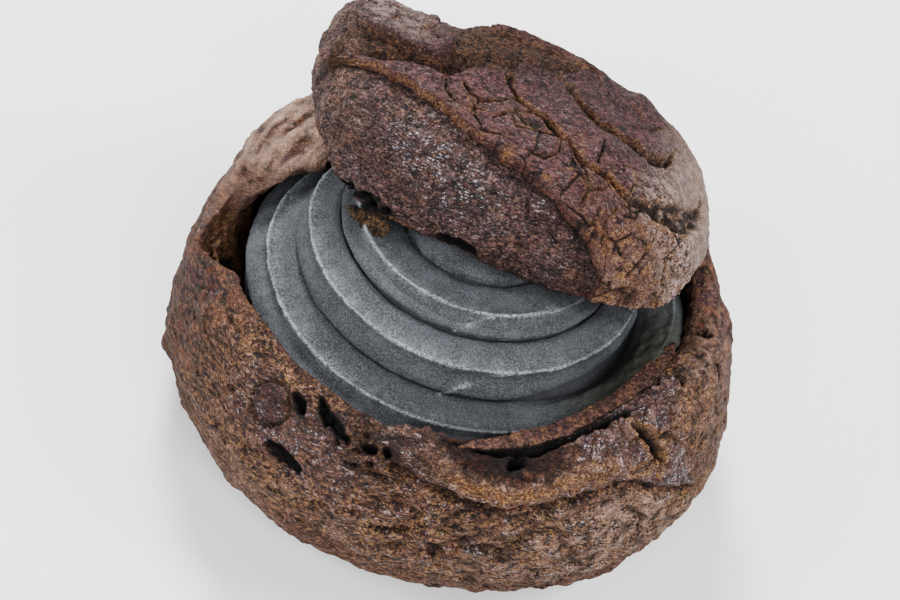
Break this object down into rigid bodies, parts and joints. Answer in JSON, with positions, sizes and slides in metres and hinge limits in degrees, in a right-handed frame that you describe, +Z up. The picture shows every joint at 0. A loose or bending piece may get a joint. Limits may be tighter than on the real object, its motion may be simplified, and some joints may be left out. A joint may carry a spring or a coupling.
{
  "type": "black sesame cream puff",
  "caption": "Round dark choux bun, cut open, with a piped swirl of grey sesame cream and its crackled lid leaning back on top.",
  "frame": {"origin": "middle of the flat foot that the puff stands on", "axes": "+Z up, -Y towards the side where the lid leaves the cream in view, +X to that view's right"},
  "size_m": [0.0917, 0.0916, 0.0598],
  "materials": {
    "dark_choux": "baked choux crust, matte with faint sheen on the bumps",
    "sesame_cream": "matte slate grey whipped cream, slightly grainy",
    "dark_craquelin": "dry cracked sugar crust over baked choux"
  },
  "bodies": {
    "root": {"choux_bowl": "dark_choux", "sesame_cream": "sesame_cream", "choux_lid": "dark_craquelin"}
  },
  "joints": []
}
